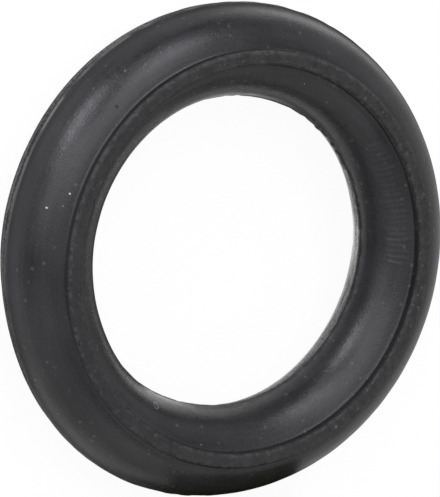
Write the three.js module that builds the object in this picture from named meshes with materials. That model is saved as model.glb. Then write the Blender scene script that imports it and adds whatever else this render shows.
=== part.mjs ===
// Exhaust hanger: one moulded rubber ring of nearly round section, 68 mm across, that hangs a pipe from a hook.
// The ring lies flat: its axis is +Z and its origin is the middle of the hole, halfway between the two faces.
// Each face carries a narrow raised rib on its crown, left where the inserts of the mould meet, and a low
// ridge runs round the outside and round the bore at mid-height, where the two halves of the mould part.
import * as THREE from "three";

// Driving dimensions, in millimetres.
const outerDiameter = 68; // over the round body, without the parting ridge
const boreDiameter = 43; // between the round body's innermost points, without the parting ridge
const bodyThickness = 13; // along the axis, without the ribs
const bodyFullness = 1.85; // 2 makes the section a true ellipse, and a lower value flattens its shoulders

const ribHeight = 1; // above the crown of the body
const ribTopWidth = 1.9; // across the flat top and its chamfers
const ribDraft = 0.15; // by which each side leans outwards from the top to the body
const ribChamfer = 0.2;
const ribInset = 0.3; // the rib's middle lies this much nearer to the bore than the section's middle

const ridgeHeight = 0.15; // above the body
const ridgeTopWidth = 0.5;
const ridgeBaseWidth = 0.9;

// Steps of the faceted surface.
const stepsAround = 72;
const stepsPerShoulder = 9;

// The section's own middle and half widths.
const middleRadius = (outerDiameter + boreDiameter) / 4;
const halfWidth = (outerDiameter - boreDiameter) / 4;
const crown = bodyThickness / 2;

const rubber = new THREE.MeshStandardMaterial({
  name: "moulded black rubber",
  color: 0x2b2b2e,
  roughness: 0.52,
  metalness: 0,
});

// The body's section is the curve |x / halfWidth|^f + |z / crown|^f = 1, where x is measured from its middle
// and f is the fullness. One angle runs along it: 0 is the equator and a quarter turn is the crown.
function sectionPoint(angle) {
  const power = 2 / bodyFullness;
  return {
    x: halfWidth * Math.cos(angle) ** power,
    z: crown * Math.sin(angle) ** power,
  };
}

// The angle at which the section is this high above the mid-plane, and the one at which it is this far out.
function angleAtHeight(z) {
  return Math.asin((z / crown) ** (bodyFullness / 2));
}

function angleAtOffset(x) {
  return Math.acos((x / halfWidth) ** (bodyFullness / 2));
}

// One side of the front half, from the mid-plane at the equator to the top of the rib, as radius and height.
// The side is 1 towards the outside of the ring and -1 towards the bore.
function sideProfile(side) {
  const ribTop = crown + ribHeight;
  const topOffset = ribTopWidth / 2;
  const baseOffset = topOffset + ribDraft;
  const ribMiddle = -side * ribInset; // seen from this side's own direction
  const from = angleAtHeight(ridgeBaseWidth / 2);
  const to = angleAtOffset(ribMiddle + baseOffset);
  const points = [[halfWidth + ridgeHeight, ridgeTopWidth / 2]];
  for (let step = 0; step <= stepsPerShoulder; step++) {
    const { x, z } = sectionPoint(from + ((to - from) * step) / stepsPerShoulder);
    points.push([x, z]);
  }
  points.push([ribMiddle + topOffset, ribTop - ribChamfer]);
  points.push([ribMiddle + topOffset - ribChamfer, ribTop]);
  return points.map(([x, z]) => new THREE.Vector2(middleRadius + side * x, z));
}

// The whole closed section: over the front face from the outside to the bore, and back over the rear face.
function ringProfile() {
  const front = [...sideProfile(1), ...sideProfile(-1).reverse()];
  const rear = front.map((p) => new THREE.Vector2(p.x, -p.y)).reverse();
  return [...front, ...rear, front[0].clone()];
}

function hangerRing() {
  const geometry = new THREE.LatheGeometry(ringProfile(), stepsAround);
  geometry.rotateX(Math.PI / 2); // the lathe turns about Y, and the ring's axis is Z
  const ring = new THREE.Mesh(geometry, rubber);
  ring.name = "hanger_ring";
  return ring;
}

const exhaustHanger = new THREE.Group();
exhaustHanger.add(hangerRing());

export default exhaustHanger;
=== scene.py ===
"""The look of a moulded rubber exhaust hanger ring that lies flat on a pale floor in soft studio light.

One surface of revolution stands for the ring. Its section is the solid's, with the corners rounded and the
rib's chamfer a little wider. It carries what the moulding left: a ground rib, a torn parting ridge with
rough bands beside it, slack in the roundness and small marks. Lengths are in millimetres where nothing else
is said.
"""
import math

import bpy
import numpy as np
from mathutils import Matrix, Vector


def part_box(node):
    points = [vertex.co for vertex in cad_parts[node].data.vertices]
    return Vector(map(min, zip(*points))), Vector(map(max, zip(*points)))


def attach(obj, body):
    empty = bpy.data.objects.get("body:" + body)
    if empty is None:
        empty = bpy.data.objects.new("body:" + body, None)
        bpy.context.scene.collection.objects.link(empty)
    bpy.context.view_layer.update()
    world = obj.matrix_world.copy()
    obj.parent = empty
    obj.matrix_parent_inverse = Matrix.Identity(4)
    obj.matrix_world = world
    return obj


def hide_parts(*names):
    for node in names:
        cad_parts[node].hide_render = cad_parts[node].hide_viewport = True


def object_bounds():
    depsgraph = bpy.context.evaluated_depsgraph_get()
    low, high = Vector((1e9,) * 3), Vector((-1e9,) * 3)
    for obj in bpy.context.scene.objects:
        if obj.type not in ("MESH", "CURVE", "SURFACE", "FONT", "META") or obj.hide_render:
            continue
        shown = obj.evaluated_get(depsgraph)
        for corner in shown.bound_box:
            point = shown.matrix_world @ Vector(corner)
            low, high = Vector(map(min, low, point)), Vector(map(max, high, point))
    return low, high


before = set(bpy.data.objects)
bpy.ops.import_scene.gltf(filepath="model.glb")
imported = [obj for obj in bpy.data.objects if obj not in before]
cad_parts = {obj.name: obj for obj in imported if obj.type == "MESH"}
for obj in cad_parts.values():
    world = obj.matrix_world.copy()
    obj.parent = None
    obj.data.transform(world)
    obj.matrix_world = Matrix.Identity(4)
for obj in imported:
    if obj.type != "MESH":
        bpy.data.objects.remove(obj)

MM = 0.001  # one millimetre in the scene's metres
cad_low, cad_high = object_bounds()
ring_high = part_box("hanger_ring")[1]

# The section as the solid has it. Its outermost radius and its height come from the frame.
RIDGE_HEIGHT = 0.15
RIDGE_TOP_WIDTH = 0.5
RIDGE_BASE_WIDTH = 0.9
RIB_HEIGHT = 1.0
RIB_TOP_WIDTH = 1.9
RIB_DRAFT = 0.15
RIB_INSET = 0.3
RIB_CHAMFER = 0.22  # the solid has 0.2, and on the worn rib it is a little more
BODY_FULLNESS = 1.85
BORE_RADIUS = 21.5
OUTER_RADIUS = ring_high[0] / MM - RIDGE_HEIGHT
CROWN = ring_high[2] / MM - RIB_HEIGHT
MIDDLE_RADIUS = (OUTER_RADIUS + BORE_RADIUS) / 2
HALF_WIDTH = (OUTER_RADIUS - BORE_RADIUS) / 2

# The mesh's fineness: together just under 200,000 triangles.
STEPS_AROUND = 890
STEPS_ALONG = 112
OUTLINE_STEPS = 200  # on one quarter of the sharp section
EVEN_STEPS = 4096  # round the whole section while its corners are rounded
CORNER_ROUNDING = 0.07  # the length over which the section's corners are averaged
CROWDING = 5  # up to this many points more for each one, where the section turns
CROWDED_AT = 2  # the curvature, per millimetre, at which half of them are there

# The mould's inserts sit a little off the body's centre, and the rib with them.
RIB_SHIFT = (0.15, -0.2)
SHIFT_FADES = (1.3, 3.4)  # from the rib's middle, between these distances

# Lattices of random heights from -1 to 1: cells round the ring, cells along the section, and the seed.
SLACK_LATTICE = (9, 4, 1)
SKIN_LATTICE = (90, 24, 2)
GRINDING_LATTICE = (445, 56, 3)
NIBBLE_LATTICE = (240, 8, 4)
TEAR_LATTICE = (150, 60, 5)
RAG_LATTICE = (222, 40, 8)
BAND_LATTICE = (120, 100, 9)
BAR_LATTICE = (120, 60, 10)
FLANK_LATTICE = (120, 20, 11)

# Some marks show nothing at the first of these random heights and all at the second.
NIBBLE_SHOWS = (0.0, 0.7)
TEAR_SHOWS = (-0.2, 0.9)
RAG_SHOWS = (-0.1, 0.5)
BAND_SHOWS = (-0.2, 0.7)
FLANK_SHOWS = (-0.7, 0.7)

# Where the ring is out of round: it lies flatter on its left outside, and its bore is a little tight.
SLACK = 0.07
SKIN_UNEVENNESS = 0.012
FLAT_AT, FLAT_SPREAD, FLAT_DEPTH = 197.0, 26.0, 0.27  # degrees, degrees and millimetres
BORE_TIGHT = 0.1
BORE_BUMPS = (  # degrees, degrees and millimetres, which are below 0 where the bore is wide
    (232.0, 30.0, -0.32),
    (47.0, 36.0, -0.18),
    (325.0, 58.0, 0.2),
)
OUTSIDE_FROM, BORE_FROM = 0.2, 0.4  # shares of the half width where these begin to count

# The rib's parts: each begins at the first share of the rib's height and is whole at the second.
RIB_PART = (0.2, 0.5)
TOP_PART = (0.8, 0.97)
LIP_PART = (0.6, 0.8)
UNDER_CHAMFER_ENDS = (0.55, 0.75)  # this one is whole up to the first and gone at the second
EDGE_FROM, EDGE_FULL, LIP_FULL = 0.55, 0.9, 0.75  # how far from the rib's middle its edges are

# The rib's top was ground, its edges are nibbled, and one length of the top is less worn.
GRINDING_DEPTH = 0.012
NIBBLE_DEPTH = 0.04
WORN_AT, WORN_SPREAD, WORN_LESS = 200, 110, 0.55  # degrees, degrees and share

# The rib's sides carry painted shade, a dark line from their foot up, but less in three places: degrees,
# degrees and the share of the shade that goes.
SIDE_LEANS = (0.5, 0.85)  # the level part of the surface's normal, from no side to a side
SIDE_FOOT = (-0.3, 0.1)  # heights above the crown between which the dark begins
PALE_BOTH_SIDES = (242, 58, 0.95)
PALE_OUTER_SIDE = (85, 40, 0.8)
PALE_INNER_SIDE = (-25, 75, 0.5)

# The flash was ground off below the parting, which left a rough band on the outside and another in the bore.
OUTER_BAND = (-3.3, 0.2)  # from and to, as heights
BORE_BAND = (-2.6, 0.2)
BAND_FADES = 0.8
BAND_DEPTH = 0.03
BANDS_FROM = 0.6  # of the half width
SWELL_AT, SWELL_SPREAD, SWELL_HEIGHT = 128.0, 75.0, 0.2  # where the outer band was ground off less
SWELL_RISES, SWELL_FALLS = (-4.5, -2.5), (-0.8, -0.5)  # heights

# The ridge is torn all round, with rags of flash in the bore. On the outside its upper flank gets a painted
# highlight, and painted shade lies below it as a dark step.
RIDGE_BEGINS = (-0.03, 0.07)  # from the body's widest place
TEAR_SHARE = 0.5  # of the ridge's height
RAGS_RISE, RAGS_FALL = (12, 22), (52, 62)  # degrees round the ring
RAG_HEIGHT = 0.14
FLANK_RISES, FLANK_FALLS = (0.15, 0.3), (0.45, 0.65)  # heights
FLANK_AT, FLANK_SPREAD, FLANK_ELSEWHERE = 136, 52, 0.12  # degrees, degrees, and the share away from there
STEP_RISES, STEP_FALLS = (-0.8, -0.6), (-0.15, 0.05)  # heights

# Low worn bars stand on the front face's inner slope, where such a ring carries its moulded marks.
BARS_FROM, BARS_TO = -3.0, 41.0  # degrees round the ring
BAR_PITCH = 1.9  # degrees
BAR_HEIGHT = 0.065
BARS_MIDDLE, BARS_REACH = -3.5, 1.2  # offset from the section's middle, and how far they reach to both sides
BARS_SEED = 6
BAR_SIDES = (0.1, 0.3)  # in pitches from a bar's middle, from full height to none
BAR_ENDS = (0.75, 1)  # the same in reaches
BAR_BEND = 0.25  # in pitches, at the ends
PLACE_VARIES, TILT_VARIES, BEND_VARIES = 0.12, 0.16, 0.2  # pitches
ENDS_VARY = 0.3  # reaches
HEIGHTS_VARY, TOPS_VARY = 0.3, 0.25  # from bar to bar, and along each bar

# Single marks on the front face, by degrees round the ring and distance from its axis.
# Each one's edge is where its share goes from 1 to 0.
# the pit has no depth; its shade is painted
PIT = (137.9, 29.9)
PIT_EDGE = (0.16, 0.3, 1.0, 0.0)
RING_MARK = (240.1, 23.4)
RING_MARK_RADIUS = 0.36
RING_MARK_EDGE = (0.02, 0.14, 1.0, 0.0)  # to both sides of its circle
FLECKS = ((168.1, 31.5), (163.2, 29.5))
FLECK_EDGE = (0.07, 0.16, 1.0, 0.0)

# About how wide the skin's patterns are, and how high its finest relief stands.
CLOUD = 7.0
MOTTLE = 1.0
GRAIN = 0.25
STREAK = 0.4
BEAD = 0.7
TEAR = 0.5
RELIEF = 0.03

# How rough the rubber is, and how strongly its smooth and its dark places mirror.
SKIN_ROUGHNESS = (0.26, 0.33)
CUT_ROUGHNESS = 0.35
LIP_ROUGHNESS = 0.7
SMOOTH_SPECULAR, DARK_SPECULAR = 0.5, 0.34

# Painted reflections: the glow that gloss rays find on the floor, where a strength of 1 is white. It is set
# place by place, dim close to the ring and bright in a few spots, to paint highlights and dark reflections
# on the ring. Each row of four has two distances and then the strengths or shares at them. Angles are in
# degrees from +X to +Y.
ROOM_CLEARS = (39, 49, 0.1, 1.0)  # by the distance from the ring's axis
DIM_PLACES = (  # each spot, and a row by the distance from it
    ((27, 34), (5, 14, 0.3, 1.0)),
    ((-36, 58), (6, 24, 0.5, 1.0)),
)
DARK_LANE_ACROSS, DARK_LANE_OFFSET, DARK_LANE = 27, 15, (13, 23, 0.0, 1.0)
DARK_LANE_ALONG, DARK_LANE_STARTS = 297, (26, 38, 1.0, 0.0)
ROOM_GROWS_TOWARDS, ROOM_GROWS = 215, (-60, 60, 0.6, 0.75)
BRIGHT_CLEARS = (45, 51, 0.0, 1.0)  # by the distance from the ring's axis
BRIGHT_SPOT, BRIGHT = (27, 51), (8, 32, 1.5, 0.0)
LOW_LEFT_SPOT, LOW_LEFT = (-36, -44), (8, 22, 0.3, 0.0)
HOLE_ENDS = (24.5, 26, 1.0, 0.0)  # by the distance from the ring's axis
HOLE_SPOT, HOLE_GLOW = (12, 0), (2, 7, 1.25, 0.04)
STREAK_ACROSS, STREAK_OFFSET, STREAK_SIDES = 128, 13.3, (1.2, 2.8, 1.0, 0.0)
STREAK_ALONG, STREAK_GLOW = 38, (-8, 12, 1.35, 1.1)
HOLE_TOP_TOWARDS, HOLE_TOP = 100, (8.5, 14, 0.0, 0.7)
HOLE_RIGHT_TOWARDS, HOLE_RIGHT = -20, (8, 14, 0.0, 1.0)
HOLE_RIM = (21, 21.8, 0.0, 1.3)  # by the distance from the ring's axis

# How the camera sees the floor and the room, and how strong the room's own light is.
FLOOR_SIZE = 4  # metres
CAMERA_SHARE, CAMERA_GLOW = 0.9, 1.05
ROOM_LIGHT, ROOM_SEEN = 0.03, 1.0

# Lamps: azimuth and elevation in degrees, distance, width and height in metres, watts, and colour. Daylight
# from the windows is a little cooler than the fill.
COOL = "#f9faff"
WHITE = "#ffffff"
LAMPS = {
    "ceiling_panel": (112, 61, 0.6, 0.55, 0.36, 0.9, COOL),
    "top_panel": (95, 80, 0.6, 0.8, 0.8, 0.95, COOL),
    "back_window": (92, 35, 0.5, 0.24, 0.22, 0.54, COOL),
    "low_left_window": (134, 19, 0.5, 0.2, 0.15, 0.56, COOL),
    "left_window": (157, 36, 0.5, 0.34, 0.26, 0.42, COOL),
    "left_fill": (168, 8, 0.6, 0.5, 0.25, 0.16, WHITE),
    "left_high_fill": (192, 40, 0.6, 0.3, 0.35, 0.085, WHITE),
    "right_fill": (20, 20, 0.6, 0.8, 0.4, 0.56, WHITE),
    "front_fill": (310, 29, 0.6, 0.8, 0.6, 0.8, WHITE),
    "near_fill": (240, 26, 0.6, 0.8, 0.6, 0.75, WHITE),
}

# Painted shade: a dark card beside the ring's foot, which no camera sees, put there to shade the foot and
# darken its reflections.
CARD_AZIMUTH = 279.4  # degrees
CARD_DISTANCE = 38.5
CARD_WIDTH = 25.5
CARD_TOP = 10  # above the ring's mid-plane

# The photograph's view: the camera's axis is this far off the ring's, and the front face leans to the right.
FRAME_WIDTH, FRAME_HEIGHT = 440, 497  # pixels
VIEW_TILT = math.radians(32.13)
VIEW_LEAN = math.radians(-17.22)
VIEW_DISTANCE = 447.4 * MM
PIXELS_PER_MIDDLE_RADIUS = 203.8
RING_CENTRE_PIXEL = (226.9, 251.1)


def side_outline(side):
    """One side of the front half, from the mid-plane to the top of the rib, as offsets from the section's
    middle and heights. The body is |x / half width|^f + |z / crown|^f = 1, sampled by an angle from the
    equator to the crown."""
    rib_middle = -side * RIB_INSET
    top = RIB_TOP_WIDTH / 2
    start = math.asin((RIDGE_BASE_WIDTH / 2 / CROWN) ** (BODY_FULLNESS / 2))
    stop = math.acos(((rib_middle + top + RIB_DRAFT) / HALF_WIDTH) ** (BODY_FULLNESS / 2))
    angle = np.linspace(start, stop, OUTLINE_STEPS)
    x = HALF_WIDTH * np.cos(angle) ** (2 / BODY_FULLNESS)
    z = CROWN * np.sin(angle) ** (2 / BODY_FULLNESS)
    x = np.concatenate([[HALF_WIDTH + RIDGE_HEIGHT], x, [rib_middle + top, rib_middle + top - RIB_CHAMFER]])
    z = np.concatenate([[RIDGE_TOP_WIDTH / 2], z, [CROWN + RIB_HEIGHT - RIB_CHAMFER, CROWN + RIB_HEIGHT]])
    return side * x, z


def section():
    """The closed section as offsets, heights and shares of the way along it. The sharp outline is cut into
    even steps, each corner is rounded by a Gaussian average along the outline, and the final points are
    drawn closer together where it turns: with a curvature c they are 1 + a c / (c + b) times as close."""
    outer_x, outer_z = side_outline(1)
    inner_x, inner_z = side_outline(-1)
    front_x = np.concatenate([outer_x, inner_x[::-1]])
    front_z = np.concatenate([outer_z, inner_z[::-1]])
    x = np.concatenate([front_x, front_x[::-1], front_x[:1]])
    z = np.concatenate([front_z, -front_z[::-1], front_z[:1]])
    along = np.concatenate([[0], np.cumsum(np.hypot(np.diff(x), np.diff(z)))])
    length = along[-1]
    even = np.linspace(0, length, EVEN_STEPS, endpoint=False)
    wave = np.fft.fftfreq(even.size, length / even.size) * 2 * math.pi
    rounding = np.exp(-0.5 * (wave * CORNER_ROUNDING) ** 2)
    x = np.fft.ifft(np.fft.fft(np.interp(even, along, x)) * rounding).real
    z = np.fft.ifft(np.fft.fft(np.interp(even, along, z)) * rounding).real
    step = length / even.size
    bend_x = np.roll(x, -1) - 2 * x + np.roll(x, 1)
    bend_z = np.roll(z, -1) - 2 * z + np.roll(z, 1)
    turn = np.hypot(bend_x, bend_z) / step ** 2
    crowding = np.cumsum(1 + CROWDING * turn / (turn + CROWDED_AT))
    drawn = np.interp(np.arange(STEPS_ALONG) / STEPS_ALONG * crowding[-1], crowding, even)
    closed = np.append(even, length)
    x = np.interp(drawn, closed, np.append(x, x[0]))
    z = np.interp(drawn, closed, np.append(z, z[0]))
    return x, z, drawn / length


def lattice_noise(around, along, lattice):
    """Smooth random heights from -1 to 1 that close on themselves both ways. Each corner of the lattice has
    a random height, and a point takes the four round it, blended by 3t^2 - 2t^3. Both coordinates run from 0
    to 1."""
    cells_around, cells_along, seed = lattice
    heights = np.random.default_rng(seed).uniform(-1, 1, (cells_around, cells_along))
    u, v = around * cells_around, along * cells_along
    i, j = np.floor(u).astype(int), np.floor(v).astype(int)
    fade_u, fade_v = u - i, v - j
    fade_u, fade_v = fade_u ** 2 * (3 - 2 * fade_u), fade_v ** 2 * (3 - 2 * fade_v)
    low = heights[i % cells_around, j % cells_along] * (1 - fade_u)
    low += heights[(i + 1) % cells_around, j % cells_along] * fade_u
    high = heights[i % cells_around, (j + 1) % cells_along] * (1 - fade_u)
    high += heights[(i + 1) % cells_around, (j + 1) % cells_along] * fade_u
    return low * (1 - fade_v) + high * fade_v


def smooth_step(value, low, high):
    """0 below low, 1 above high, and 3t^2 - 2t^3 between them."""
    t = np.clip((value - low) / (high - low), 0, 1)
    return t * t * (3 - 2 * t)


def between(value, rises, falls):
    """0, then up to 1 over the first pair of limits, and back to 0 over the second."""
    return smooth_step(value, *rises) * (1 - smooth_step(value, *falls))


def up_rib(z, low, high):
    """How far up the rib a height is: 0 below the first share of the rib's height and 1 above the second."""
    return smooth_step(np.abs(z), CROWN + low * RIB_HEIGHT, CROWN + high * RIB_HEIGHT)


def hump(degrees, middle, spread):
    """1 at the middle, falling smoothly to 0 at the spread to both sides of it."""
    away = np.abs((degrees - middle + 180) % 360 - 180)
    return 1 - smooth_step(away, 0, spread)


def out_of_round(x, degrees, around, along):
    """How far the body stands off a true ring: random slack, an uneven skin, a flat place on the outside,
    and a bore that is tight all round plus its bumps."""
    slack = SLACK * (lattice_noise(around, along, SLACK_LATTICE) - 1)
    slack = slack + SKIN_UNEVENNESS * lattice_noise(around, along, SKIN_LATTICE)
    outward = smooth_step(x, OUTSIDE_FROM * HALF_WIDTH, HALF_WIDTH)
    slack = slack - FLAT_DEPTH * outward * hump(degrees, FLAT_AT, FLAT_SPREAD)
    inward = smooth_step(-x, BORE_FROM * HALF_WIDTH, HALF_WIDTH)
    bumps = sum(depth * hump(degrees, at, spread) for at, spread, depth in BORE_BUMPS)
    return slack + inward * (BORE_TIGHT + bumps)


def rib_side_shade(x, z, normal_x, degrees):
    """Where the rib's sides get painted shade: 1 from their foot to just under the chamfer, and less where
    they are pale.
    """
    foot = smooth_step(np.abs(z), CROWN + SIDE_FOOT[0], CROWN + SIDE_FOOT[1])
    side = smooth_step(np.abs(normal_x), *SIDE_LEANS) * foot * (1 - up_rib(z, *UNDER_CHAMFER_ENDS))
    for (at, spread, less), there in ((PALE_BOTH_SIDES, True), (PALE_OUTER_SIDE, x > -RIB_INSET),
                                      (PALE_INNER_SIDE, x < -RIB_INSET)):
        side = side * (1 - less * hump(degrees, at, spread) * there)
    return side


def ground_band(x, z):
    """1 on the rough bands, with fading upper and lower edges: one on the outside and one in the bore."""
    band = 0
    for there, (low, high) in ((x > 0, OUTER_BAND), (x < 0, BORE_BAND)):
        band = band + there * between(z, (low, low + BAND_FADES), (0.0, high))
    return band * (np.abs(x) > BANDS_FROM * HALF_WIDTH)


def worn_bars(x, z, degrees, around, along):
    """From 0 to 1 on the bars. The angle over the pitch numbers them, and each number draws its own place,
    tilt, bend, two ends and height, as a worn mould leaves them."""
    place = (degrees - BARS_FROM) / BAR_PITCH
    number = np.clip(np.floor(place), 0, (BARS_TO - BARS_FROM) // BAR_PITCH).astype(int)
    luck = np.random.default_rng(BARS_SEED).uniform(-1, 1, (6, number.max() + 1))[:, number]
    own_place, own_tilt, own_bend, own_foot, own_head, own_height = luck
    up_slope = (x - BARS_MIDDLE) / BARS_REACH
    bend = (BAR_BEND + BEND_VARIES * own_bend) * up_slope ** 2
    tilt = TILT_VARIES * own_tilt * up_slope
    sideways = place - number - 0.5 + PLACE_VARIES * own_place + tilt - bend
    foot_moves, head_moves = ENDS_VARY * own_foot, ENDS_VARY * own_head
    foot = smooth_step(up_slope, -BAR_ENDS[1] + foot_moves, -BAR_ENDS[0] + foot_moves)
    head = 1 - smooth_step(up_slope, BAR_ENDS[0] + head_moves, BAR_ENDS[1] + head_moves)
    inside = (degrees > BARS_FROM) & (degrees < BARS_TO) & (z > 0)
    bar = (1 - smooth_step(np.abs(sideways), *BAR_SIDES)) * foot * head * inside
    bar = bar * (1 - HEIGHTS_VARY + HEIGHTS_VARY * own_height)
    return bar * (1 - TOPS_VARY + TOPS_VARY * lattice_noise(around, along, BAR_LATTICE))


def mesh_from_grid(name, points, attributes):
    """A closed mesh from a grid of points that wraps both ways, with a number at each point for each
    attribute."""
    rows, columns = points.shape[:2]
    index = np.arange(rows * columns).reshape(rows, columns)
    right, up = np.roll(index, -1, axis=0), np.roll(index, -1, axis=1)
    quads = np.stack([index, right, np.roll(right, -1, axis=1), up], axis=-1).reshape(-1, 4)
    mesh = bpy.data.meshes.new(name)
    mesh.vertices.add(rows * columns)
    mesh.vertices.foreach_set("co", points.astype(np.float32).ravel())
    mesh.loops.add(quads.size)
    mesh.loops.foreach_set("vertex_index", quads.astype(np.int32).ravel())
    mesh.polygons.add(len(quads))
    mesh.polygons.foreach_set("loop_start", np.arange(0, quads.size, 4, dtype=np.int32))
    mesh.polygons.foreach_set("use_smooth", np.ones(len(quads), bool))
    for key, values in attributes.items():
        layer = mesh.attributes.new(key, "FLOAT", "POINT")
        layer.data.foreach_set("value", values.astype(np.float32).ravel())
    mesh.update()
    mesh.validate()
    made = bpy.data.objects.new(name, mesh)
    bpy.context.collection.objects.link(made)
    return made


def moulded_ring():
    """The ring: each point of the section is turned round the axis, then moved along the surface's own
    normal by the height of the marks that the mould and the trimming left there."""
    x, z, along = section()
    slope_x = np.roll(z, -1) - np.roll(z, 1)
    slope_z = np.roll(x, 1) - np.roll(x, -1)
    size = np.hypot(slope_x, slope_z)
    turn = np.arange(STEPS_AROUND)[:, None] / STEPS_AROUND
    grids = np.broadcast_arrays(x, z, along, slope_x / size, slope_z / size, turn)
    x, z, along, normal_x, normal_z, around = grids
    angle = around * 2 * math.pi
    degrees = (np.degrees(angle) + 180) % 360 - 180

    # where the rib, its flat top, its chamfers and the parting ridges are
    from_rib = np.abs(x + RIB_INSET)
    near_rib = 1 - smooth_step(from_rib, *SHIFT_FADES)
    on_rib = up_rib(z, *RIB_PART)
    on_top = up_rib(z, *TOP_PART)
    lip = up_rib(z, *LIP_PART) * smooth_step(from_rib, EDGE_FROM, LIP_FULL)
    on_ridge = smooth_step(np.abs(x), HALF_WIDTH + RIDGE_BEGINS[0], HALF_WIDTH + RIDGE_BEGINS[1])

    # the top of the rib was ground off, and its edges are nibbled
    ground = -GRINDING_DEPTH * on_top * (1 + lattice_noise(around, along, GRINDING_LATTICE))
    edge = on_rib * smooth_step(from_rib, EDGE_FROM, EDGE_FULL)
    bites = smooth_step(lattice_noise(around, along, NIBBLE_LATTICE), *NIBBLE_SHOWS)
    nibbled = -NIBBLE_DEPTH * edge * bites

    # the flash along the parting was torn off, so its ridge is uneven, and rags of it are left in the bore
    tears = smooth_step(lattice_noise(around, along, TEAR_LATTICE), *TEAR_SHOWS)
    torn = -TEAR_SHARE * RIDGE_HEIGHT * on_ridge * tears
    ragged = between(degrees, RAGS_RISE, RAGS_FALL) * (x < 0) * on_ridge
    rags = smooth_step(lattice_noise(around, along, RAG_LATTICE), *RAG_SHOWS)
    torn = torn + RAG_HEIGHT * ragged * rags

    # the rough bands where the flash was ground off, and on the outside the masks for the painted highlight
    # on the ridge's upper flank and the painted shade in the step below it
    band = ground_band(x, z)
    pits = smooth_step(lattice_noise(around, along, BAND_LATTICE), *BAND_SHOWS)
    rough = -BAND_DEPTH * band * pits
    swell = (x > 0) * between(z, SWELL_RISES, SWELL_FALLS)
    rough = rough + SWELL_HEIGHT * swell * hump(degrees, SWELL_AT, SWELL_SPREAD)
    flank_highlight = (x > 0) * between(z, FLANK_RISES, FLANK_FALLS) * on_ridge
    flank_highlight = flank_highlight * smooth_step(lattice_noise(around, along, FLANK_LATTICE), *FLANK_SHOWS)
    flank_highlight = flank_highlight * (FLANK_ELSEWHERE + (1 - FLANK_ELSEWHERE) * hump(degrees, FLANK_AT, FLANK_SPREAD))
    under = (x > 0) * between(z, STEP_RISES, STEP_FALLS)

    bars = worn_bars(x, z, degrees, around, along)
    slack = out_of_round(x, degrees, around, along) * (1 - near_rib)
    height = slack + ground + nibbled + torn + rough + BAR_HEIGHT * bars
    radius = MIDDLE_RADIUS + x + height * normal_x
    right = radius * np.cos(angle) + near_rib * RIB_SHIFT[0]
    back = radius * np.sin(angle) + near_rib * RIB_SHIFT[1]
    points = np.stack([right, back, z + height * normal_z], axis=-1) * MM
    worn = on_top * (1 - WORN_LESS * hump(degrees, WORN_AT, WORN_SPREAD))
    # masks for painted light: the rib's sides and the step under the ridge get painted shade, the ridge's
    # flank a painted highlight
    marks = {"rib": worn, "ridge": on_ridge, "band": band, "bars": bars, "lip": lip, "flank_highlight": flank_highlight,
             "side_shade": rib_side_shade(x, z, normal_x, degrees), "under": under}
    return mesh_from_grid("moulded_rubber_ring", points, marks)


def linear(hex_colour):
    """An sRGB hex colour as linear red, green, blue and alpha."""
    parts = [int(hex_colour[k:k + 2], 16) / 255 for k in (1, 3, 5)]
    return [v / 12.92 if v <= 0.04045 else ((v + 0.055) / 1.055) ** 2.4 for v in parts] + [1.0]


def add_node(tree, kind, inputs=(), **settings):
    """Adds one node. Settings are its own properties, and inputs give each socket a value or another's
    output."""
    made = tree.nodes.new(kind)
    for name, value in settings.items():
        setattr(made, name, value)
    for socket, value in dict(inputs).items():
        if isinstance(value, bpy.types.NodeSocket):
            tree.links.new(value, made.inputs[socket])
        else:
            made.inputs[socket].default_value = value
    return made


def math_node(tree, operation, *values):
    """The result of one sum on numbers or sockets."""
    return add_node(tree, "ShaderNodeMath", dict(enumerate(values)), operation=operation).outputs[0]


def combined(tree, operation, *values):
    """Many numbers or sockets put together, two by two, with one operation."""
    result = values[0]
    for value in values[1:]:
        result = math_node(tree, operation, result, value)
    return result


def noise(tree, place, size, detail):
    """Noise whose lumps are about this many millimetres across."""
    inputs = {"Vector": place, "Scale": 1 / (size * MM), "Detail": detail}
    return add_node(tree, "ShaderNodeTexNoise", inputs).outputs["Fac"]


def ramp(tree, value, start, stop, first=0.0, last=1.0):
    """A number that goes evenly from first to last as the value goes from start to stop, and stays there."""
    inputs = {"Value": value, "From Min": start, "From Max": stop, "To Min": first, "To Max": last}
    return add_node(tree, "ShaderNodeMapRange", inputs).outputs["Result"]


def over(tree, distance, row):
    """A ramp over a distance. The row has two distances in millimetres and the numbers at them."""
    start, stop, first, last = row
    return ramp(tree, distance, start * MM, stop * MM, first, last)


def towards(tree, place, azimuth):
    """How far a place lies towards a direction in degrees from +X to +Y."""
    a = math.radians(azimuth)
    inputs = {0: place, 1: (math.cos(a), math.sin(a), 0)}
    return add_node(tree, "ShaderNodeVectorMath", inputs, operation="DOT_PRODUCT").outputs["Value"]


def off_line(tree, place, azimuth, offset):
    """How far a place lies from a straight line. The line is square to the direction, and lies this many
    millimetres from the axis on the side away from it."""
    return math_node(tree, "ABSOLUTE", math_node(tree, "ADD", towards(tree, place, azimuth), offset * MM))


def away_from(tree, place, spot):
    """How far a place lies from a spot on the floor or on the face, given in millimetres."""
    inputs = {0: place, 1: (spot[0] * MM, spot[1] * MM, 0)}
    return add_node(tree, "ShaderNodeVectorMath", inputs, operation="DISTANCE").outputs["Value"]


def from_mark(tree, flat, mark):
    """How far a place on the face lies from a mark given by its degrees and its distance from the axis."""
    a = math.radians(mark[0])
    return away_from(tree, flat, (mark[1] * math.cos(a), mark[1] * math.sin(a)))


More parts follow.
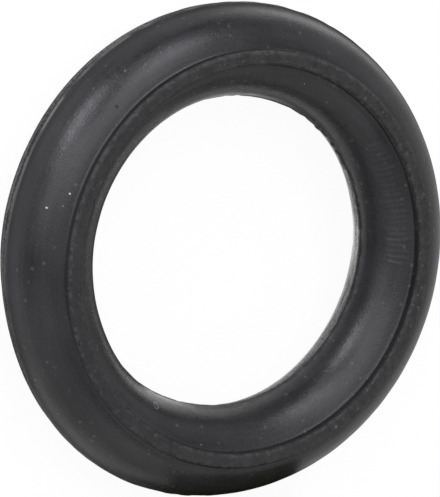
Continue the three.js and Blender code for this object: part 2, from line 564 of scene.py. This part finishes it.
def specks(tree, place, cell, largest, missing, softness):
    """A share from 0 to 1 that is 1 on specks. A lattice of random points has one in each cell of this many
    millimetres. The missing share of them has no speck, and the rest have radii up to the largest."""
    cells = add_node(tree, "ShaderNodeTexVoronoi", {"Vector": place, "Scale": 1 / (cell * MM)})
    chance = add_node(tree, "ShaderNodeSeparateColor", {"Color": cells.outputs["Color"]}).outputs[0]
    radius = ramp(tree, chance, missing, 1.0, 0.0, largest / cell)
    inner = math_node(tree, "SUBTRACT", radius, cells.outputs["Distance"])
    return ramp(tree, inner, 0.0, softness / cell)


def blend(tree, share, first, second):
    """A colour between two, by a share from 0 to 1."""
    inputs = {"Factor": share, "A": first, "B": second}
    return add_node(tree, "ShaderNodeMix", inputs, data_type="RGBA").outputs["Result"]


def new_material(name):
    """An empty node material and its tree."""
    material = bpy.data.materials.new(name)
    material.use_nodes = True
    material.node_tree.nodes.clear()
    return material, material.node_tree


def wound_streaks(tree, axes, radius):
    """Noise in streaks that run round the ring. It is drawn at the place's cosine, sine, radius and height,
    with lumps long along the circle, and narrow across it and up its side."""
    narrow = 1 / (STREAK * MM)
    long = 4.0
    wound = add_node(tree, "ShaderNodeCombineXYZ", {
        0: math_node(tree, "MULTIPLY", math_node(tree, "DIVIDE", axes[0], radius), long),
        1: math_node(tree, "MULTIPLY", math_node(tree, "DIVIDE", axes[1], radius), long),
        2: math_node(tree, "MULTIPLY", radius, narrow)})
    inputs = {"Vector": wound.outputs[0], "W": math_node(tree, "MULTIPLY", axes[2], narrow), "Scale": 1.0,
              "Detail": 2.0}
    return add_node(tree, "ShaderNodeTexNoise", inputs, noise_dimensions="4D").outputs["Fac"]


def moulded_black_rubber():
    """EPDM rubber filled with carbon black, pressed in a steel mould: a satin near-black skin with a fine
    grain, a faint grey bloom, streaks that follow the ring, dust specks, and a duller, paler tone where the
    rib was ground and the flash torn off. Painted shade darkens the rib's sides, the step under the ridge
    and a pit, and a painted highlight lies on the ridge's upper flank."""
    material, tree = new_material("moulded_black_rubber")
    place = add_node(tree, "ShaderNodeTexCoord").outputs["Object"]
    names = ("rib", "ridge", "band", "bars", "side_shade", "lip", "flank_highlight", "under")
    found = [add_node(tree, "ShaderNodeAttribute", attribute_name=name).outputs["Fac"] for name in names]
    rib, ridge, band, bars, side_shade, lip, flank_highlight, under = found
    cut = math_node(tree, "MAXIMUM", rib, ridge)

    axes = add_node(tree, "ShaderNodeSeparateXYZ", {0: place}).outputs
    flat = add_node(tree, "ShaderNodeCombineXYZ", {0: axes[0], 1: axes[1]}).outputs[0]
    radius = add_node(tree, "ShaderNodeVectorMath", {0: flat}, operation="LENGTH").outputs["Value"]
    clouds = noise(tree, place, CLOUD, 3.0)
    mottle = noise(tree, place, MOTTLE, 3.0)
    grain = noise(tree, place, GRAIN, 2.0)
    streaks = wound_streaks(tree, axes, radius)

    # bloom spots with soft edges, small sharp grains of dust, scuffs on the rib and beads along its edges
    spots = specks(tree, place, cell=1.1, largest=0.36, missing=0.3, softness=0.2)
    dust = specks(tree, place, cell=1.7, largest=0.15, missing=0.6, softness=0.02)
    scuffs = specks(tree, place, cell=0.8, largest=0.26, missing=0.3, softness=0.16)
    scuffs = math_node(tree, "MULTIPLY", scuffs, rib)
    beads = math_node(tree, "MULTIPLY", ramp(tree, noise(tree, place, BEAD, 2.0), 0.45, 0.6), lip)

    # the single marks: a pit, whose shade is painted as a near-black spot with no depth, a mark like a small
    # ring, and two bright flecks
    pit_shade = over(tree, from_mark(tree, flat, PIT), PIT_EDGE)
    off_circle = math_node(tree, "SUBTRACT", from_mark(tree, flat, RING_MARK), RING_MARK_RADIUS * MM)
    ring_mark = over(tree, math_node(tree, "ABSOLUTE", off_circle), RING_MARK_EDGE)
    flecks = [over(tree, from_mark(tree, flat, fleck), FLECK_EDGE) for fleck in FLECKS]
    flecks = combined(tree, "MAXIMUM", *flecks)

    # tones of the moulded skin, of the cut rubber and of the rough bands
    tone = math_node(tree, "MULTIPLY_ADD", streaks, 0.3, math_node(tree, "MULTIPLY", clouds, 0.4))
    tone = math_node(tree, "MULTIPLY_ADD", grain, 0.3, tone)
    skin = blend(tree, ramp(tree, tone, 0.38, 0.62), linear("#252527"), linear("#343436"))
    worn_tone = math_node(tree, "MULTIPLY_ADD", grain, 0.5, math_node(tree, "MULTIPLY", mottle, 0.5))
    worn = blend(tree, ramp(tree, worn_tone, 0.36, 0.64), linear("#252525"), linear("#3c3c3c"))
    lumps = math_node(tree, "MULTIPLY", noise(tree, place, TEAR, 2.0), 0.4)
    torn = ramp(tree, math_node(tree, "MULTIPLY_ADD", streaks, 0.6, lumps), 0.42, 0.6)
    rough_band = blend(tree, torn, linear("#4a4a48"), linear("#8c8c88"))

    # one layer over the other: where it lies, how strong it is, and its colour
    colour = blend(tree, cut, skin, worn)
    for where, strength, layer in (
            (band, 0.8, rough_band),
            # painted shade in the step under the ridge, then a painted highlight on the ridge's upper flank
            (under, 0.45, linear("#161616")),
            (flank_highlight, 0.7, linear("#a0a09e")),
            # painted shade on the rib's sides
            (side_shade, 0.62, linear("#121213")),
            (beads, 0.25, linear("#6a6a68")),
            (scuffs, 0.35, linear("#707070")),
            (bars, 0.2, linear("#5c5c5e")),
            (spots, 0.25, linear("#7c7c7c")),
            (dust, 1.0, linear("#888884")),
            (ring_mark, 0.45, linear("#8a8a88")),
            (flecks, 1.0, linear("#d6d6d2")),
            # painted shade: the pit as a near-black spot
            (pit_shade, 1.0, linear("#0a0a0a"))):
        colour = blend(tree, math_node(tree, "MULTIPLY", where, strength), colour, layer)

    # a satin skin, duller on cut rubber and dullest along the rib's edges
    rough = ramp(tree, mottle, 0.3, 0.7, *SKIN_ROUGHNESS)
    for where, roughness in ((cut, CUT_ROUGHNESS), (lip, LIP_ROUGHNESS)):
        inputs = {"Factor": where, "A": rough, "B": roughness}
        rough = add_node(tree, "ShaderNodeMix", inputs).outputs["Result"]
    dark = combined(tree, "MAXIMUM", side_shade, pit_shade, lip)
    specular = ramp(tree, dark, 0.0, 1.0, SMOOTH_SPECULAR, DARK_SPECULAR)

    # the finest relief is in the shading only: grain, mottle, streaks, dust and the torn bands
    relief = math_node(tree, "MULTIPLY_ADD", mottle, 0.25, grain)
    relief = math_node(tree, "MULTIPLY_ADD", streaks, 0.25, relief)
    relief = math_node(tree, "MULTIPLY_ADD", dust, 0.5, relief)
    relief = math_node(tree, "MULTIPLY_ADD", math_node(tree, "MULTIPLY", torn, band), 0.9, relief)
    bump = add_node(tree, "ShaderNodeBump", {"Height": relief, "Strength": 1.0, "Distance": RELIEF * MM})
    shader = add_node(tree, "ShaderNodeBsdfPrincipled", {
        "Base Color": colour, "Roughness": rough, "IOR": 1.5, "Specular IOR Level": specular,
        "Normal": bump.outputs["Normal"]})
    add_node(tree, "ShaderNodeOutputMaterial", {"Surface": shader.outputs["BSDF"]})
    return material


def painted_floor_reflections(tree, place):
    """Painted reflections: the strength that gloss rays find on the floor, set place by place to put
    highlights and dark reflections on the ring. Outside the ring it is pale, dim close by, at two places
    behind and along a lane in front, plus a bright place behind it and a faint one at the lower left. In the
    hole it is a spot and a streak, with a paler top and a pale rim at the right."""
    out = add_node(tree, "ShaderNodeVectorMath", {0: place}, operation="LENGTH").outputs["Value"]
    dim_places = [over(tree, away_from(tree, place, spot), row) for spot, row in DIM_PLACES]
    clear = combined(tree, "MULTIPLY", over(tree, out, ROOM_CLEARS), *dim_places)
    beside_lane = over(tree, off_line(tree, place, DARK_LANE_ACROSS, DARK_LANE_OFFSET), DARK_LANE)
    before_lane = over(tree, towards(tree, place, DARK_LANE_ALONG), DARK_LANE_STARTS)
    off_lane = math_node(tree, "MAXIMUM", beside_lane, before_lane)
    grows = over(tree, towards(tree, place, ROOM_GROWS_TOWARDS), ROOM_GROWS)
    room = combined(tree, "MULTIPLY", clear, off_lane, grows)
    low_left = over(tree, away_from(tree, place, LOW_LEFT_SPOT), LOW_LEFT)
    bright = over(tree, away_from(tree, place, BRIGHT_SPOT), BRIGHT)
    bright = math_node(tree, "MULTIPLY", over(tree, out, BRIGHT_CLEARS), bright)

    spot = over(tree, away_from(tree, place, HOLE_SPOT), HOLE_GLOW)
    streak_sides = over(tree, off_line(tree, place, STREAK_ACROSS, STREAK_OFFSET), STREAK_SIDES)
    streak_glow = over(tree, towards(tree, place, STREAK_ALONG), STREAK_GLOW)
    streak = math_node(tree, "MULTIPLY", streak_sides, streak_glow)
    top = over(tree, towards(tree, place, HOLE_TOP_TOWARDS), HOLE_TOP)
    right = over(tree, towards(tree, place, HOLE_RIGHT_TOWARDS), HOLE_RIGHT)
    right = math_node(tree, "MULTIPLY", over(tree, out, HOLE_RIM), right)
    hole = combined(tree, "ADD", spot, streak, top, right)
    hole = math_node(tree, "MULTIPLY", over(tree, out, HOLE_ENDS), hole)
    return combined(tree, "ADD", room, low_left, bright, hole)


def pale_floor():
    """A plain sheet of white paper under the ring. The camera sees it lifted towards white, which leaves the
    ring's shadow on it. Gloss rays find painted reflections on it in place of the lit paper: a glow set
    place by place, which paints highlights and dark reflections on the ring."""
    bpy.ops.mesh.primitive_plane_add(size=FLOOR_SIZE, location=(0, 0, cad_low[2]))
    floor = bpy.context.object
    floor.name = "pale_floor"
    material, tree = new_material("white_paper_and_painted_reflections")
    paper = add_node(tree, "ShaderNodeBsdfDiffuse", {"Color": linear("#e6e6e8")}).outputs[0]
    place = add_node(tree, "ShaderNodeTexCoord").outputs["Object"]
    found = painted_floor_reflections(tree, place)
    rays = add_node(tree, "ShaderNodeLightPath").outputs
    seen = math_node(tree, "MULTIPLY", rays["Is Camera Ray"], CAMERA_SHARE)
    gloss = math_node(tree, "MAXIMUM", rays["Is Glossy Ray"], rays["Is Transmission Ray"])
    share = math_node(tree, "MAXIMUM", gloss, seen)
    # gloss rays get the painted reflections in place of the paper
    strengths = {"Factor": gloss, "A": CAMERA_GLOW, "B": found}
    strength = add_node(tree, "ShaderNodeMix", strengths).outputs["Result"]
    glow = add_node(tree, "ShaderNodeEmission", {"Color": linear(WHITE), "Strength": strength}).outputs[0]
    mixed = add_node(tree, "ShaderNodeMixShader", {0: share, 1: paper, 2: glow})
    add_node(tree, "ShaderNodeOutputMaterial", {"Surface": mixed.outputs[0]})
    floor.data.materials.append(material)


def studio_surround():
    """Plain dim room light, which the camera sees as white."""
    world = bpy.data.worlds.new("studio_surround")
    bpy.context.scene.world = world
    world.use_nodes = True
    tree = world.node_tree
    tree.nodes.clear()
    seen = add_node(tree, "ShaderNodeLightPath").outputs["Is Camera Ray"]
    strength = ramp(tree, seen, 0.0, 1.0, ROOM_LIGHT, ROOM_SEEN)
    light = add_node(tree, "ShaderNodeBackground", {"Color": linear(WHITE), "Strength": strength})
    add_node(tree, "ShaderNodeOutputWorld", {"Surface": light.outputs[0]})


def soft_box(name, azimuth, elevation, distance, width, height, watts, colour):
    """An oblong area light that faces the ring from a direction in degrees. Azimuth 0 is +X and 90 is +Y."""
    data = bpy.data.lights.new(name, "AREA")
    data.shape = "RECTANGLE"
    data.size, data.size_y = width, height
    data.energy = watts
    data.color = linear(colour)[:3]
    lamp = bpy.data.objects.new(name, data)
    bpy.context.collection.objects.link(lamp)
    a, e = math.radians(azimuth), math.radians(elevation)
    direction = Vector((math.cos(e) * math.cos(a), math.cos(e) * math.sin(a), math.sin(e)))
    lamp.location = direction * distance
    lamp.rotation_euler = direction.to_track_quat("Z", "Y").to_euler()


def foot_shade_card():
    """A sheet of dark olive card that stands on the floor beside the ring's foot and that no camera sees. It
    is
    painted shade: it keeps the fill light off the foot and gives it dark reflections with a little green in
    them, as the photograph shows the foot dark with a little green in it."""
    a = math.radians(CARD_AZIMUTH)
    middle = Vector((math.cos(a), math.sin(a), 0)) * CARD_DISTANCE * MM
    half = Vector((-math.sin(a), math.cos(a), 0)) * CARD_WIDTH * MM / 2
    corners = [middle - half, middle + half, middle + half, middle - half]
    for corner, height in zip(corners, (cad_low[2], cad_low[2], CARD_TOP * MM, CARD_TOP * MM)):
        corner.z = height
    mesh = bpy.data.meshes.new("foot_shade_card")
    mesh.from_pydata(corners, [], [(0, 1, 2, 3)])
    card = bpy.data.objects.new("foot_shade_card", mesh)
    bpy.context.collection.objects.link(card)
    material, tree = new_material("foot_shade_olive_card")
    surface = add_node(tree, "ShaderNodeBsdfDiffuse", {"Color": linear("#3e401c")}).outputs[0]
    add_node(tree, "ShaderNodeOutputMaterial", {"Surface": surface})
    mesh.materials.append(material)
    card.visible_camera = False


def photograph_camera():
    """The photograph's camera. In its own axes the ring's axis is tilted off the line of sight, towards the
    lean, and the ring's X and Y lie square to that, with X level and Y upwards in the picture."""
    axis = Vector((math.sin(VIEW_TILT) * math.cos(VIEW_LEAN), math.sin(VIEW_TILT) * math.sin(VIEW_LEAN),
                   math.cos(VIEW_TILT)))
    ring_x = Vector((0, 1, 0)).cross(axis).normalized()
    ring_y = axis.cross(ring_x)
    focal = PIXELS_PER_MIDDLE_RADIUS * VIEW_DISTANCE / (MIDDLE_RADIUS * MM)
    across = (RING_CENTRE_PIXEL[0] - FRAME_WIDTH / 2) / focal * VIEW_DISTANCE
    down = (RING_CENTRE_PIXEL[1] - FRAME_HEIGHT / 2) / focal * VIEW_DISTANCE
    centre = Vector((across, -down, -VIEW_DISTANCE))
    data = bpy.data.cameras.new("camera")
    data.sensor_width = 36.0
    data.lens = focal / max(FRAME_WIDTH, FRAME_HEIGHT) * data.sensor_width
    camera = bpy.data.objects.new("camera", data)
    bpy.context.collection.objects.link(camera)
    to_ring = Matrix((ring_x, ring_y, axis))  # rows: takes a direction in the camera's axes to the ring's
    camera.matrix_world = Matrix.Translation(to_ring @ -centre) @ to_ring.to_4x4()
    bpy.context.scene.camera = camera


photograph_camera()
bpy.context.scene.view_settings.view_transform = "Standard"
pale_floor()
foot_shade_card()
studio_surround()
for lamp_name, lamp_values in LAMPS.items():
    soft_box(lamp_name, *lamp_values)

ring = moulded_ring()
ring.data.materials.append(moulded_black_rubber())
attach(ring, "root")
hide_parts("hanger_ring")
